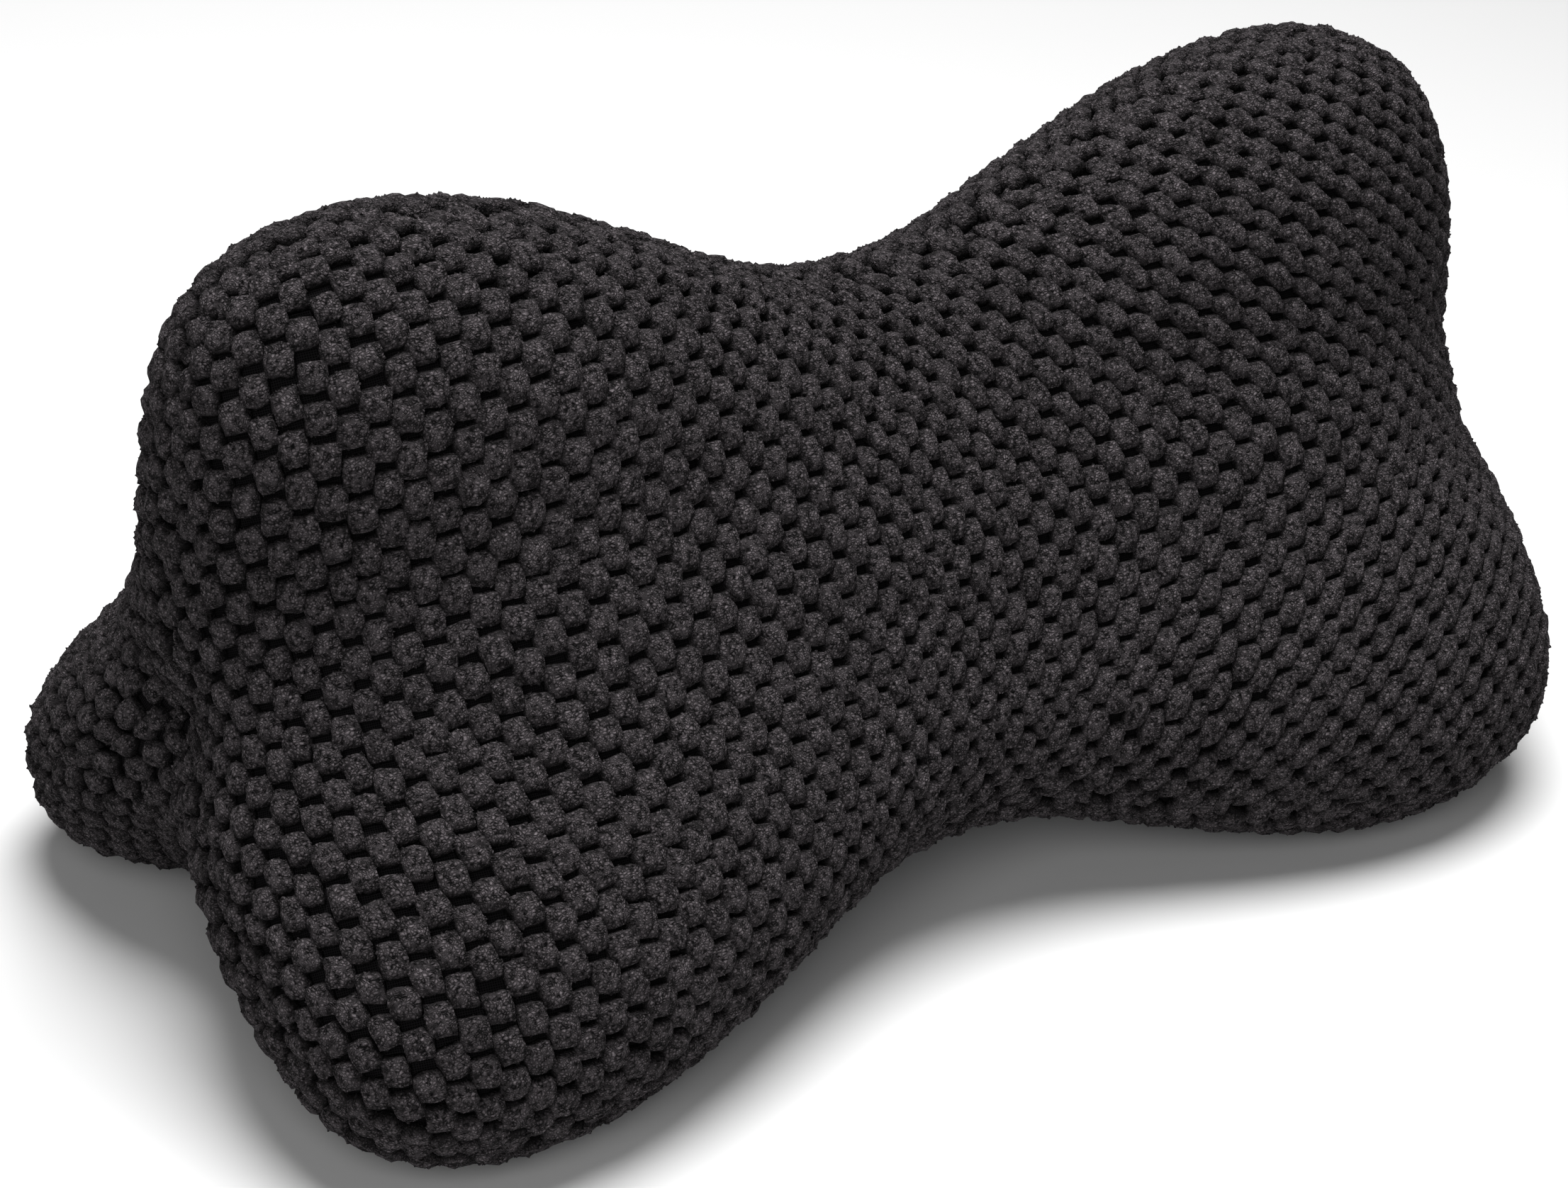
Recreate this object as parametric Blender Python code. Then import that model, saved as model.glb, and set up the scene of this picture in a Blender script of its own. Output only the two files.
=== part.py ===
# Bone neck pillow: a stuffed cover of three bone-shaped panels, sewn along three seams into a waist
# with three rounded lobes at each end. It lies on two lobes of each end, with the third pointing up.
# Metres, +Z up, +X along the pillow. The origin is the middle of the underside of its box.
import math

import bmesh
import bpy
import numpy as np

# The seam line over a lobe: distance from the middle of the pillow along X, and radius from its axis
LOBE_REACH = 0.170            # middle of the pillow to the tips of an even end's lobes
LOBE_TIP_RADIUS = 0.036       # where the seam leaves the end and turns outward
LOBE_CORNER_INSET = 0.006     # the seam's outer corner, back from the reach
LOBE_CORNER_RADIUS = 0.097
LOBE_CROWN_X = 0.103          # the widest place of the lobes
LOBE_CROWN_RADIUS = 0.109
LOBE_FOOT_X = 0.038           # where the lobe has run down into the waist
LOBE_FOOT_RADIUS = 0.078
WAIST_SEAM_RADIUS = 0.068

# The middle line of a panel, between two lobes
PANEL_TIP_RADIUS = 0.030
PANEL_SHOULDER_X = 0.110
PANEL_SHOULDER_RADIUS = 0.063
PANEL_FOOT_X = 0.060
PANEL_FOOT_RADIUS = 0.054
WAIST_PANEL_RADIUS = 0.051

# The ends, where the three seams meet in a shallow dimple
END_DIMPLE_DEPTH = 0.002      # the end's centre lies this far inside the lobes' reach
END_SEAM_FLARE = 0.008        # how far the seams run outward before they turn over the lobes
END_PANEL_FLARE = 0.004
WAIST_HANDLE = 0.45           # share of a foot's distance over which the waist stays straight
CREST_SHARPNESS = 1.6         # 1 makes the lobes blend widely, more makes them narrower

# The cloth: a checkerboard of chenille tufts and bare knit, one mesh point for each
TUFTS_AROUND = 72             # tufts and gaps around, a multiple of 6 so that the seams fall on points
TUFTS_ALONG = 74              # tufts and gaps from end to end
TUFT_HEIGHT = 0.0030          # the gaps lie this far below the tops of the tufts
SEAM_DEPTH = 0.0016           # and the seams this far
TUFT_FULL_WIDTH = 0.0042      # cells narrower than this, near the ends, have lower tufts
PRESSED_DEPTH = 0.0022        # the lowest lobes are pressed flat by this much where they rest
PRESS_BLEND = 0.006           # height over which the tufts rise from the pressed patch

# How the ends differ from the even shape, as the filling lies: each lobe's extra length and radius,
# in metres, and its turn about the axis in degrees
SEAM_ANGLES = {"upper": 90.0, "front": 210.0, "rear": 330.0}
ENDS = {"near": -1.0, "far": 1.0}
LOBE_SETTLING = {
    ("near", "front"): {"longer": 0.0075, "fuller": 0.002, "turned": 0.0},
    ("near", "rear"): {"longer": 0.0045, "fuller": -0.010, "turned": -8.0},
    ("near", "upper"): {"longer": 0.0, "fuller": -0.002, "turned": 0.0},
    ("far", "front"): {"longer": 0.003, "fuller": -0.002, "turned": 2.0},
    ("far", "upper"): {"longer": 0.0, "fuller": -0.0035, "turned": 0.0},
}
NEAR_END_DRAWN_IN = 0.014     # the near end's centre is pulled in by this much
WAIST_SHIFT_Y = -0.0035       # the waist lies a little forward and low between the lobes
WAIST_SHIFT_Z = -0.001

CLOTH_COLOUR = (0.041, 0.038, 0.040, 1.0)
CLOTH_ROUGHNESS = 0.95


def smooth_step(value):
    value = np.clip(value, 0.0, 1.0)
    return value * value * (3.0 - 2.0 * value)


def spline(points, shares):
    # Clamped cubic B-spline through the first and last of the points, read at shares from 0 to 1
    degree = 3
    points = np.array(points, dtype=float)
    spans = len(points) - degree
    knots = np.concatenate([np.zeros(degree), np.linspace(0.0, 1.0, spans + 1), np.ones(degree)])
    line = np.empty((len(shares), 2))
    for row, share in enumerate(shares):
        span = min(int(share * spans), spans - 1) + degree
        local = points[span - degree:span + 1].copy()
        for level in range(1, degree + 1):
            for k in range(degree, level - 1, -1):
                low = knots[span - degree + k]
                high = knots[span + 1 + k - level]
                mix = (share - low) / (high - low)
                local[k] = (1.0 - mix) * local[k - 1] + mix * local[k]
        line[row] = local[degree]
    return line


def seam_points():
    end_x = LOBE_REACH - END_DIMPLE_DEPTH
    return [(end_x, 0.0),
            (end_x + END_SEAM_FLARE, LOBE_TIP_RADIUS / 2),
            (LOBE_REACH, LOBE_TIP_RADIUS),
            (LOBE_REACH - LOBE_CORNER_INSET, LOBE_CORNER_RADIUS),
            (LOBE_CROWN_X, LOBE_CROWN_RADIUS),
            (LOBE_FOOT_X, LOBE_FOOT_RADIUS),
            (LOBE_FOOT_X * WAIST_HANDLE, WAIST_SEAM_RADIUS),
            (0.0, WAIST_SEAM_RADIUS)]


def panel_points():
    end_x = LOBE_REACH - END_DIMPLE_DEPTH
    return [(end_x, 0.0),
            (end_x + END_PANEL_FLARE, PANEL_TIP_RADIUS / 2),
            (end_x + END_PANEL_FLARE, PANEL_TIP_RADIUS),
            (PANEL_SHOULDER_X, PANEL_SHOULDER_RADIUS),
            (PANEL_FOOT_X, PANEL_FOOT_RADIUS),
            (PANEL_FOOT_X * WAIST_HANDLE, WAIST_PANEL_RADIUS),
            (0.0, WAIST_PANEL_RADIUS)]


def even_shares(count):
    # Shares of the splines, from the end to the waist, that space the rings evenly along the cloth
    fine = np.linspace(0.0, 1.0, 401)
    steps = sum(np.hypot(*np.diff(spline(points(), fine), axis=0).T)
                for points in (seam_points, panel_points))
    travelled = np.concatenate([[0.0], np.cumsum(steps)])
    return np.interp(np.linspace(0.0, travelled[-1], count), travelled, fine)


def angle_from(angles, centre):
    return (angles - centre + 180.0) % 360.0 - 180.0


def cover_grid():
    # Points of the cover's smooth outer surface, as rings along X by meridians around it
    half = TUFTS_ALONG // 2 + 1
    shares = even_shares(half)
    seam = spline(seam_points(), shares)
    panel = spline(panel_points(), shares)
    outward = 1.0 - shares                          # 1 at an end's centre, 0 at the waist
    ends = np.concatenate([-outward, outward[:-1][::-1]])
    seam = np.concatenate([seam * (-1, 1), seam[:-1][::-1]])
    panel = np.concatenate([panel * (-1, 1), panel[:-1][::-1]])
    angles = np.arange(TUFTS_AROUND) * 360.0 / TUFTS_AROUND
    waves = (1 + np.cos(np.radians(3 * (angles - SEAM_ANGLES["upper"])))) / 2
    crest = waves ** CREST_SHARPNESS
    along = panel[:, :1] * (1 - crest) + seam[:, :1] * crest
    radius = panel[:, 1:] * (1 - crest) + seam[:, 1:] * crest
    turned = np.tile(angles, (len(ends), 1))
    for (end, lobe), settling in LOBE_SETTLING.items():
        toward = ENDS[end] * ends
        reach = np.where(toward > 0, smooth_step(toward / 0.55) * smooth_step((1 - toward) / 0.25), 0)
        away = np.abs(angle_from(angles, SEAM_ANGLES[lobe]))
        narrow = np.where(away < 60, 0.5 + 0.5 * np.cos(np.radians(3 * away)), 0)
        wide = np.where(away < 100, 0.5 + 0.5 * np.cos(np.radians(1.8 * away)), 0)
        along = along + ENDS[end] * settling["longer"] * np.outer(reach, narrow)
        radius = radius + settling["fuller"] * np.outer(reach, narrow)
        turned = turned + settling["turned"] * np.outer(reach, wide)
    drawn = smooth_step((-ends - 0.45) / 0.5)
    along = along + NEAR_END_DRAWN_IN * drawn[:, None]
    waist = smooth_step(1 - np.abs(ends) / 0.6)[:, None]
    across = radius * np.cos(np.radians(turned)) + WAIST_SHIFT_Y * waist
    height = radius * np.sin(np.radians(turned)) + WAIST_SHIFT_Z * waist
    return np.stack([along, across, height], axis=-1), radius


def outward_normals(grid):
    around = np.roll(grid, -1, axis=1) - np.roll(grid, 1, axis=1)
    lengthwise = np.gradient(grid, axis=0)
    normals = np.cross(around, lengthwise)
    size = np.linalg.norm(normals, axis=-1, keepdims=True)
    normals = normals / np.maximum(size, 1e-9)
    normals[0] = (-1.0, 0.0, 0.0)
    normals[-1] = (1.0, 0.0, 0.0)
    return normals


def on_seam(meridian):
    return round(meridian * 360 / TUFTS_AROUND - SEAM_ANGLES["upper"]) % 120 == 0


def is_tuft(ring, meridian):
    return (ring + meridian) % 2 == 0 and not on_seam(meridian)


def cloth_grid():
    # The cover with its gaps and seams sunk below the tufts, and its lowest lobes pressed flat
    grid, radius = cover_grid()
    floor = grid[..., 2].min() + PRESSED_DEPTH
    cell_width = 2 * math.pi * radius / TUFTS_AROUND
    relief = smooth_step(cell_width / TUFT_FULL_WIDTH)
    relief = relief * smooth_step((grid[..., 2] - floor) / PRESS_BLEND)
    rings, meridians = relief.shape
    for ring in range(rings):
        for meridian in range(meridians):
            if on_seam(meridian):
                relief[ring, meridian] *= SEAM_DEPTH
            elif is_tuft(ring, meridian):
                relief[ring, meridian] = 0.0
            else:
                relief[ring, meridian] *= TUFT_HEIGHT
    grid = grid - outward_normals(grid) * relief[..., None]
    grid[..., 2] = np.maximum(grid[..., 2], floor)
    low = grid.min(axis=(0, 1))
    high = grid.max(axis=(0, 1))
    grid -= ((low[0] + high[0]) / 2, (low[1] + high[1]) / 2, floor)
    return grid


def make_pillow():
    grid = cloth_grid()
    last_ring = TUFTS_ALONG
    cells = bmesh.new()
    bmesh.ops.create_uvsphere(cells, u_segments=TUFTS_AROUND, v_segments=TUFTS_ALONG, radius=1.0)
    tufts = set()
    for vertex in cells.verts:
        # The ball's poles become the pillow's ends: its Z axis is laid along X
        ring = round(math.acos(max(-1.0, min(1.0, -vertex.co.z))) / math.pi * last_ring)
        meridian = round(math.atan2(vertex.co.y, vertex.co.x) / (2 * math.pi) * TUFTS_AROUND) % TUFTS_AROUND
        vertex.co = grid[ring, 0 if ring in (0, last_ring) else meridian]
        if is_tuft(ring, meridian) and ring not in (0, last_ring):
            tufts.add(vertex)
    # Each four-sided cell is split between its two tufts, so that the gaps are pits of their own
    for face in list(cells.faces):
        corners = list(face.verts)
        if len(corners) == 4:
            even = sum(corner in tufts for corner in corners[0::2])
            odd = sum(corner in tufts for corner in corners[1::2])
            pair = corners[0::2] if even >= odd else corners[1::2]
            bmesh.utils.face_split(face, *pair)
    mesh = bpy.data.meshes.new("pillow")
    cells.to_mesh(mesh)
    cells.free()
    mesh.shade_smooth()
    return mesh


def cloth_material():
    material = bpy.data.materials.new("charcoal_chenille_knit")
    material.use_nodes = True
    shader = material.node_tree.nodes["Principled BSDF"]
    shader.inputs["Base Color"].default_value = CLOTH_COLOUR
    shader.inputs["Roughness"].default_value = CLOTH_ROUGHNESS
    shader.inputs["Metallic"].default_value = 0.0
    return material


for leftover in list(bpy.data.objects):
    bpy.data.objects.remove(leftover, do_unlink=True)

pillow = bpy.data.objects.new("pillow", make_pillow())
pillow.data.materials.append(cloth_material())
collection = bpy.data.collections.new("bone_neck_pillow")
bpy.context.scene.collection.children.link(collection)
collection.objects.link(pillow)
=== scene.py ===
# Bone neck pillow: a stuffed cover of chunky chenille knit, three bone-shaped panels sewn together
import math
import bpy
import bmesh
import numpy as np
from mathutils import Matrix, Vector


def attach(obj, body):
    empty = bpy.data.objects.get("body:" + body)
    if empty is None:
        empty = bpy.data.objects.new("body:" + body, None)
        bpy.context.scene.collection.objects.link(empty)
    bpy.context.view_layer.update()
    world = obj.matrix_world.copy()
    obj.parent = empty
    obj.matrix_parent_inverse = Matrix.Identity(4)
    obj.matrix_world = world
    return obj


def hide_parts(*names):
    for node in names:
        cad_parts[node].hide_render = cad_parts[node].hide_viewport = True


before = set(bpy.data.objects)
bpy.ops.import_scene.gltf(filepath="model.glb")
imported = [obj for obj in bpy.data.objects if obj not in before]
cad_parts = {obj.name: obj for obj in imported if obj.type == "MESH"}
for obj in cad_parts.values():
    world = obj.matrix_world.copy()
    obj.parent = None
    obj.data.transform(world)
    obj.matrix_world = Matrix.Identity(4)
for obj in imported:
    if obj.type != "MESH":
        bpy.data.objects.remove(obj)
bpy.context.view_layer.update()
mm = 0.001


def smoothStep(value):
    value = np.clip(value, 0.0, 1.0)
    return value * value * (3.0 - 2.0 * value)


# cover form: the same sizes as the solid's, in metres
coverForm = {
    "lobeReach": 0.170, "lobeTipRadius": 0.036, "lobeCornerInset": 0.006, "lobeCornerRadius": 0.097,
    "lobeCrownX": 0.103, "lobeCrownRadius": 0.109, "lobeFootX": 0.038, "lobeFootRadius": 0.078,
    "waistSeamRadius": 0.068,
    "panelTipRadius": 0.030, "panelShoulderX": 0.110, "panelShoulderRadius": 0.063,
    "panelFootX": 0.060, "panelFootRadius": 0.054, "waistPanelRadius": 0.051,
    "endDimpleDepth": 0.002, "endSeamFlare": 0.008, "endPanelFlare": 0.004,
    "waistHandle": 0.45, "crestSharpness": 1.6,
    "pressedDepth": 0.0022,
    "settlingRise": 0.55, "settlingFall": 0.25,      # share of a half over which it starts and ends
    "lengtheningSpan": 60.0, "turningSpan": 100.0,   # degrees either side of a lobe
    "drawnInStart": 0.45, "drawnInOver": 0.5, "waistShiftOver": 0.6,
    "nearEndDrawnIn": 0.014, "waistShiftY": -0.0035, "waistShiftZ": -0.001,
    "seamAngles": {"upper": 90.0, "front": 210.0, "rear": 330.0},
    "settling": [                # end, lobe, extra length, extra radius, turn in degrees
        (-1, "front", 0.0075, 0.002, 0.0),
        (-1, "rear", 0.0045, -0.010, -8.0),
        (-1, "upper", 0.0, -0.002, 0.0),
        (1, "front", 0.003, -0.002, 2.0),
        (1, "upper", 0.0, -0.0035, 0.0)],
    "meridians": 144,            # a multiple of 6, so that the seams fall on points
    "rings": 149,                # odd, so that one lies on the waist
}


def splineAt(points, shares):
    # clamped cubic B-spline, read at shares from 0 to 1
    degree = 3
    points = np.array(points, dtype=float)
    spans = len(points) - degree
    knots = np.concatenate([np.zeros(degree), np.linspace(0.0, 1.0, spans + 1), np.ones(degree)])
    line = np.empty((len(shares), 2))
    for row, share in enumerate(shares):
        span = min(int(share * spans), spans - 1) + degree
        local = points[span - degree:span + 1].copy()
        for level in range(1, degree + 1):
            for k in range(degree, level - 1, -1):
                low = knots[span - degree + k]
                high = knots[span + 1 + k - level]
                mix = (share - low) / (high - low)
                local[k] = (1.0 - mix) * local[k - 1] + mix * local[k]
        line[row] = local[degree]
    return line


def profiles(form):
    # the seam line over a lobe and the middle line of a panel, from an end's centre to the waist
    endX = form["lobeReach"] - form["endDimpleDepth"]
    seam = [(endX, 0.0), (endX + form["endSeamFlare"], form["lobeTipRadius"] / 2),
            (form["lobeReach"], form["lobeTipRadius"]),
            (form["lobeReach"] - form["lobeCornerInset"], form["lobeCornerRadius"]),
            (form["lobeCrownX"], form["lobeCrownRadius"]),
            (form["lobeFootX"], form["lobeFootRadius"]),
            (form["lobeFootX"] * form["waistHandle"], form["waistSeamRadius"]),
            (0.0, form["waistSeamRadius"])]
    panel = [(endX, 0.0), (endX + form["endPanelFlare"], form["panelTipRadius"] / 2),
             (endX + form["endPanelFlare"], form["panelTipRadius"]),
             (form["panelShoulderX"], form["panelShoulderRadius"]),
             (form["panelFootX"], form["panelFootRadius"]),
             (form["panelFootX"] * form["waistHandle"], form["waistPanelRadius"]),
             (0.0, form["waistPanelRadius"])]
    fine = np.linspace(0.0, 1.0, 401)
    steps = sum(np.hypot(*np.diff(splineAt(points, fine), axis=0).T) for points in (seam, panel))
    travelled = np.concatenate([[0.0], np.cumsum(steps)])
    shares = np.interp(np.linspace(0.0, travelled[-1], form["rings"] // 2 + 1), travelled, fine)
    return splineAt(seam, shares), splineAt(panel, shares), shares


def hump(away, span):
    # 1 at a lobe, falling smoothly to 0 at span degrees from it
    return np.where(away < span, 0.5 + 0.5 * np.cos(np.radians(180.0 / span * away)), 0)


def coverGrid(form):
    # rings along X by meridians around it, on the tops of the tufts
    seam, panel, shares = profiles(form)
    outward = 1.0 - shares
    ends = np.concatenate([-outward, outward[:-1][::-1]])
    seam = np.concatenate([seam * (-1, 1), seam[:-1][::-1]])
    panel = np.concatenate([panel * (-1, 1), panel[:-1][::-1]])
    angles = np.arange(form["meridians"]) * 360.0 / form["meridians"]
    waves = (1 + np.cos(np.radians(3 * (angles - form["seamAngles"]["upper"])))) / 2
    crest = waves ** form["crestSharpness"]
    along = panel[:, :1] * (1 - crest) + seam[:, :1] * crest
    radius = panel[:, 1:] * (1 - crest) + seam[:, 1:] * crest
    turned = np.tile(angles, (len(ends), 1))
    for end, lobe, longer, fuller, turn in form["settling"]:
        toward = end * ends
        rise = smoothStep(toward / form["settlingRise"]) * smoothStep((1 - toward) / form["settlingFall"])
        reach = np.where(toward > 0, rise, 0)
        away = np.abs((angles - form["seamAngles"][lobe] + 180.0) % 360.0 - 180.0)
        narrow = hump(away, form["lengtheningSpan"])
        wide = hump(away, form["turningSpan"])
        along = along + end * longer * np.outer(reach, narrow)
        radius = radius + fuller * np.outer(reach, narrow)
        turned = turned + turn * np.outer(reach, wide)
    along = along + form["nearEndDrawnIn"] * smoothStep(
        (-ends - form["drawnInStart"]) / form["drawnInOver"])[:, None]
    waist = smoothStep(1 - np.abs(ends) / form["waistShiftOver"])[:, None]
    across = radius * np.cos(np.radians(turned)) + form["waistShiftY"] * waist
    height = radius * np.sin(np.radians(turned)) + form["waistShiftZ"] * waist
    grid = np.stack([along, across, height], axis=-1)
    floor = grid[..., 2].min() + form["pressedDepth"]
    grid[..., 2] = np.maximum(grid[..., 2], floor)
    low, high = grid.min(axis=(0, 1)), grid.max(axis=(0, 1))
    middle = np.array([(low[0] + high[0]) / 2, (low[1] + high[1]) / 2, floor])
    return grid - middle, Vector(-middle)       # the form's own centre ends up at -middle


def outwardNormals(grid):
    around = np.roll(grid, -1, axis=1) - np.roll(grid, 1, axis=1)
    lengthwise = np.gradient(grid, axis=0)
    normals = np.cross(around, lengthwise)
    normals = normals / np.maximum(np.linalg.norm(normals, axis=-1, keepdims=True), 1e-9)
    normals[0] = (-1.0, 0.0, 0.0)
    normals[-1] = (1.0, 0.0, 0.0)
    return normals


# bare knit: the smooth ground that the tufts stand on
knit = {
    "tuftStand": 3.0 * mm,       # the tufts stand this far above it
    "seamDepth": 1.2 * mm,       # it is drawn in at the seams
    "seamWidth": 4.0 * mm,
    "floorGap": 1.2 * mm,        # its underside stays this high, with room for the tufts
}

outerGrid, formOrigin = coverGrid(coverForm)
normals = outwardNormals(outerGrid)
meridianCount = coverForm["meridians"]
panelSpan = meridianCount // 3
seamColumns = [round(angle / 360 * meridianCount) for angle in sorted(coverForm["seamAngles"].values())]


def groundGrid():
    # the bare knit under the tufts, drawn in a little along the seams
    angles = np.arange(meridianCount)
    away = np.min([np.abs((angles - column + meridianCount / 2) % meridianCount - meridianCount / 2)
                   for column in seamColumns], axis=0)
    ringLength = np.linalg.norm(np.roll(outerGrid, -1, axis=1) - outerGrid, axis=-1).sum(axis=1)
    distance = away[None, :] * ringLength[:, None] / meridianCount
    drawn = knit["seamDepth"] * (1 - smoothStep(distance / knit["seamWidth"]))
    ground = outerGrid - normals * (knit["tuftStand"] + drawn)[..., None]
    ground[..., 2] = np.maximum(ground[..., 2], knit["floorGap"])
    return ground


ground = groundGrid()


def stripMesh(name, strip):
    # an open strip of cloth between two seams, its ends drawn to a point
    rows, columns = strip.shape[:2]
    points, index = [], np.zeros((rows, columns), dtype=int)
    for row in range(rows):
        for column in range(columns):
            if row in (0, rows - 1) and column > 0:
                index[row, column] = index[row, 0]
                continue
            index[row, column] = len(points)
            points.append(tuple(strip[row, column]))
    faces = []
    for row in range(rows - 1):
        for column in range(columns - 1):
            corners = [index[row, column], index[row, column + 1],
                       index[row + 1, column + 1], index[row + 1, column]]
            faces.append([int(corner) for corner in dict.fromkeys(corners)])
    mesh = bpy.data.meshes.new(name)
    mesh.from_pydata(points, [], faces)
    strap = bpy.data.objects.new(name, mesh)
    bpy.context.scene.collection.objects.link(strap)
    return strap, index


def readFlat(mesh):
    corner = np.zeros(len(mesh.loops), dtype=int)
    mesh.loops.foreach_get("vertex_index", corner)
    loops = np.zeros(len(mesh.loops) * 2)
    mesh.uv_layers["clothMap"].uv.foreach_get("vector", loops)
    flat = np.zeros((len(mesh.vertices), 2))
    flat[corner] = loops.reshape(-1, 2)
    return flat


def flatten(strip):
    # lays a strip flat with the least stretch, in metres: U runs along the pillow, V across it
    piece, index = stripMesh("flatteningStrip", strip)
    mesh = piece.data
    mesh.uv_layers.new(name="clothMap")
    bpy.context.view_layer.objects.active = piece
    piece.select_set(True)
    bpy.ops.object.mode_set(mode="EDIT")
    bpy.ops.mesh.select_all(action="SELECT")
    bpy.ops.uv.unwrap(method="MINIMUM_STRETCH", fill_holes=False, iterations=40, no_flip=True)
    bpy.ops.object.mode_set(mode="OBJECT")
    flat = readFlat(mesh)
    rows, columns = index.shape
    waist, middle, reach = rows // 2, columns // 2, rows // 8
    line = flat[index[waist + reach, middle]] - flat[index[waist - reach, middle]]
    turn = -math.atan2(line[1], line[0])
    spin = np.array([[math.cos(turn), -math.sin(turn)], [math.sin(turn), math.cos(turn)]])
    flat = (flat - flat[index[waist, middle]]) @ spin.T
    if flat[index[waist, -1], 1] < flat[index[waist, 0], 1]:
        flat[:, 1] *= -1
    realArea, flatArea = 0.0, 0.0
    for polygon in mesh.polygons:
        ring = flat[list(polygon.vertices)]
        after = np.roll(ring, -1, axis=0)
        realArea += polygon.area
        flatArea += abs((ring[:, 0] * after[:, 1] - after[:, 0] * ring[:, 1]).sum()) / 2
    bpy.data.objects.remove(piece, do_unlink=True)
    return (flat * math.sqrt(realArea / flatArea))[index]


def refine(grid):
    # twice as many points each way
    rows = np.empty((grid.shape[0] * 2 - 1,) + grid.shape[1:])
    rows[0::2] = grid
    rows[1::2] = (grid[1:] + grid[:-1]) / 2
    both = np.empty((rows.shape[0], grid.shape[1] * 2 - 1, grid.shape[2]))
    both[:, 0::2] = rows
    both[:, 1::2] = (rows[:, 1:] + rows[:, :-1]) / 2
    return both


def setMap(mesh, index, flat):
    perVertex = np.zeros((len(mesh.vertices), 2))
    perVertex[index.ravel()] = flat.reshape(-1, 2)
    corner = np.zeros(len(mesh.loops), dtype=int)
    mesh.loops.foreach_get("vertex_index", corner)
    mesh.uv_layers.new(name="clothMap").uv.foreach_set("vector", perVertex[corner].ravel())


def makePanel(name, firstColumn):
    columns = [(firstColumn + k) % meridianCount for k in range(panelSpan + 1)]
    strip = ground[:, columns]
    flat = refine(flatten(strip[::2, ::2]))
    panel, index = stripMesh(name, strip)
    setMap(panel.data, index, flat)
    steps = np.linalg.norm(np.diff(strip, axis=1), axis=-1)
    fromStart = np.concatenate([np.zeros((len(strip), 1)), np.cumsum(steps, axis=1)], axis=1)
    toSeam = np.minimum(fromStart, fromStart[:, -1:] - fromStart)
    seamDistance = panel.data.attributes.new("seamDistance", "FLOAT", "POINT")
    perVertex = np.zeros(len(panel.data.vertices))
    perVertex[index.ravel()] = toSeam.ravel()
    seamDistance.data.foreach_set("value", perVertex.astype(np.float32))
    return panel


def addNode(tree, kind, settings=None, inputs=None):
    # adds a node, sets it up, and links or fills its inputs
    node = tree.nodes.new(kind)
    for key, value in (settings or {}).items():
        setattr(node, key, value)
    for key, value in (inputs or {}).items():
        socket = node.inputs[key]
        if isinstance(value, bpy.types.NodeSocket):
            tree.links.new(value, socket)
        else:
            socket.default_value = value
    return node


def toLinear(hexColour):
    channels = [int(hexColour[k:k + 2], 16) / 255 for k in (1, 3, 5)]
    return tuple(c / 12.92 if c <= 0.04045 else ((c + 0.055) / 1.055) ** 2.4 for c in channels) + (1.0,)


# chenille: microfibre polyester pile, cut and curled, fully matte with a faint bloom at grazing angles
chenille = {
    # painted shade: the near black for the creases between curls, the pits and the pile's foot, where shade
    # falls; curlTop is the cloth's own charcoal
    "curlTop": "#6b6568", "curlCreviceShade": "#010101", "curlSize": 0.56 * mm, "curlHeight": 0.55 * mm,
    "curlStretch": 0.58, "bend": 0.55 * mm, "creaseWidth": 0.34, "roundness": 0.85,
    "fibreShare": 0.25, "pitSize": 1.2 * mm, "pitShare": 0.7, "toneSize": 3.0 * mm, "toneSpread": 0.3,
    "roughness": 0.95, "specular": 0.05,             # a dark cloth with no gloss
    "bloom": 0.12, "bloomRoughness": 0.5, "bloomColour": "#8f8a8c",
    "darkBelow": 0.5, "brightAbove": 1.85,           # heights of the pile between which it turns light
}


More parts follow.
